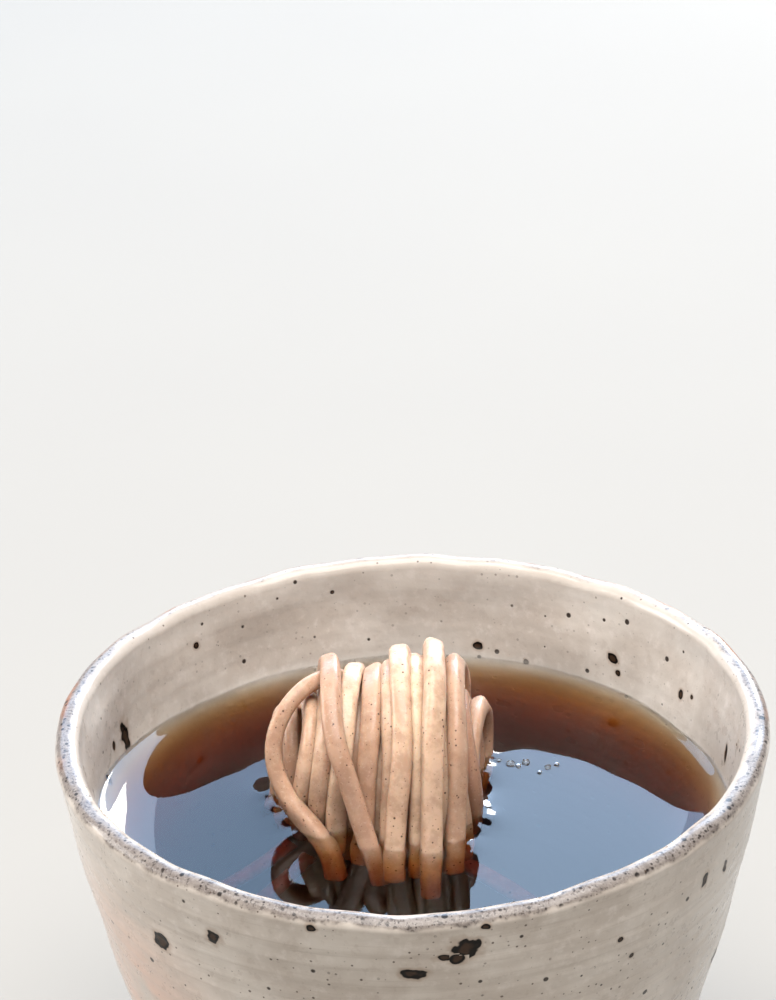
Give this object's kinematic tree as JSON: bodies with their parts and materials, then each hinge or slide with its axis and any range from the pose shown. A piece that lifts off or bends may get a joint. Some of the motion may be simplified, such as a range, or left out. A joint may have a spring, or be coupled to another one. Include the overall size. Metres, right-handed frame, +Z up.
{
  "type": "soba noodles in dipping sauce",
  "caption": "Small hand-thrown stoneware cup on a foot ring, filled with dark dipping sauce, with a heap of buckwheat noodles standing in it.",
  "frame": {"origin": "centre of the foot ring's underside, on the table", "axes": "+Z up, -Y towards the side where the noodles run down into the sauce"},
  "size_m": [0.0801, 0.0798, 0.068],
  "materials": {
    "glaze": "off-white glaze over iron-specked stoneware, glossy",
    "sauce": "dark red-brown soy dipping sauce, clear at its edge and near black in its depth",
    "soba": "boiled buckwheat noodle, brownish beige with dark flecks, wet"
  },
  "bodies": {
    "root": {"cup": "glaze", "sauce": "sauce", "soba": "soba"}
  },
  "joints": []
}
